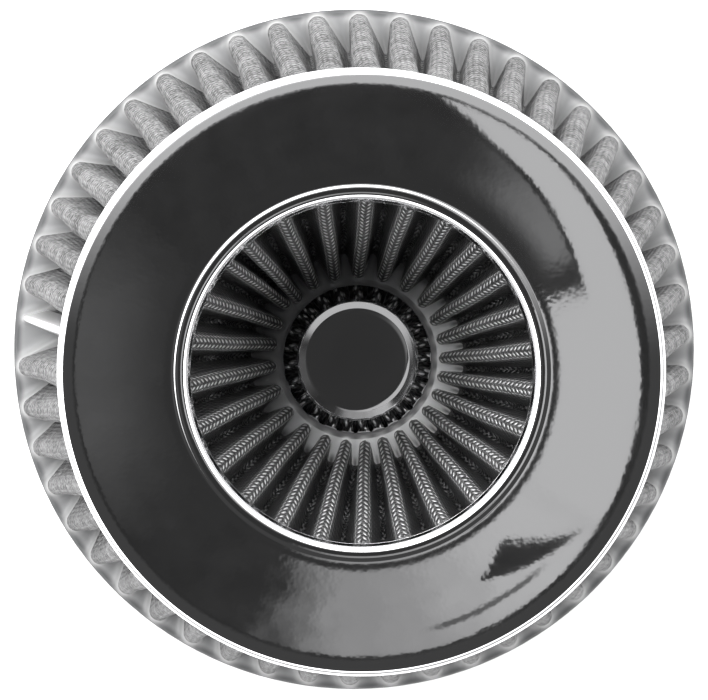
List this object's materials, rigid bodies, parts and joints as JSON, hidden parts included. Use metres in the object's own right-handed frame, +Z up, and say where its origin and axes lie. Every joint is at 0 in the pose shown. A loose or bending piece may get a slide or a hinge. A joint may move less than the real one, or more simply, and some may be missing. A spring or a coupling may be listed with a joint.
{
  "type": "cone air filter",
  "caption": "Cone air filter with pleated gauze outer wall, inverted pleated cone inside its chromed top ring, moulded grey neck and hose clamp.",
  "frame": {"origin": "middle of the neck's end face, on which the filter stands", "axes": "+Z up the filter's axis towards the top ring, +X to the right of the picture, +Y to its top"},
  "size_m": [0.152, 0.152, 0.165],
  "materials": {
    "urethane": "smooth satin grey moulding",
    "seal_urethane": "smooth dark grey moulding",
    "hub_urethane": "smooth satin grey moulding",
    "outer_gauze": "light grey gauze under a fine wire screen",
    "inner_gauze": "dark gauze under a bright knitted wire screen",
    "chrome": "polished plate",
    "button_chrome": "polished plate",
    "strip_metal": "bright pressed strip",
    "clamp_steel": "plain stainless strip",
    "screw_steel": "plated screw"
  },
  "bodies": {
    "filter": {"base_flange": "urethane", "outer_media": "outer_gauze", "outer_seam_strip": "strip_metal", "inner_media": "inner_gauze", "top_ring": "chrome", "top_seal": "seal_urethane", "hub_disc": "hub_urethane", "hub_button": "button_chrome", "clamp_band": "clamp_steel", "clamp_housing": "clamp_steel"},
    "screw": {"clamp_screw": "screw_steel"}
  },
  "joints": [
    {"name": "screw_turn", "type": "hinge", "parent": "filter", "child": "screw", "pos_m": [0.02528, -0.04045, 0.0124], "axis": [0.848, 0.5299, 0], "continuous": true}
  ]
}
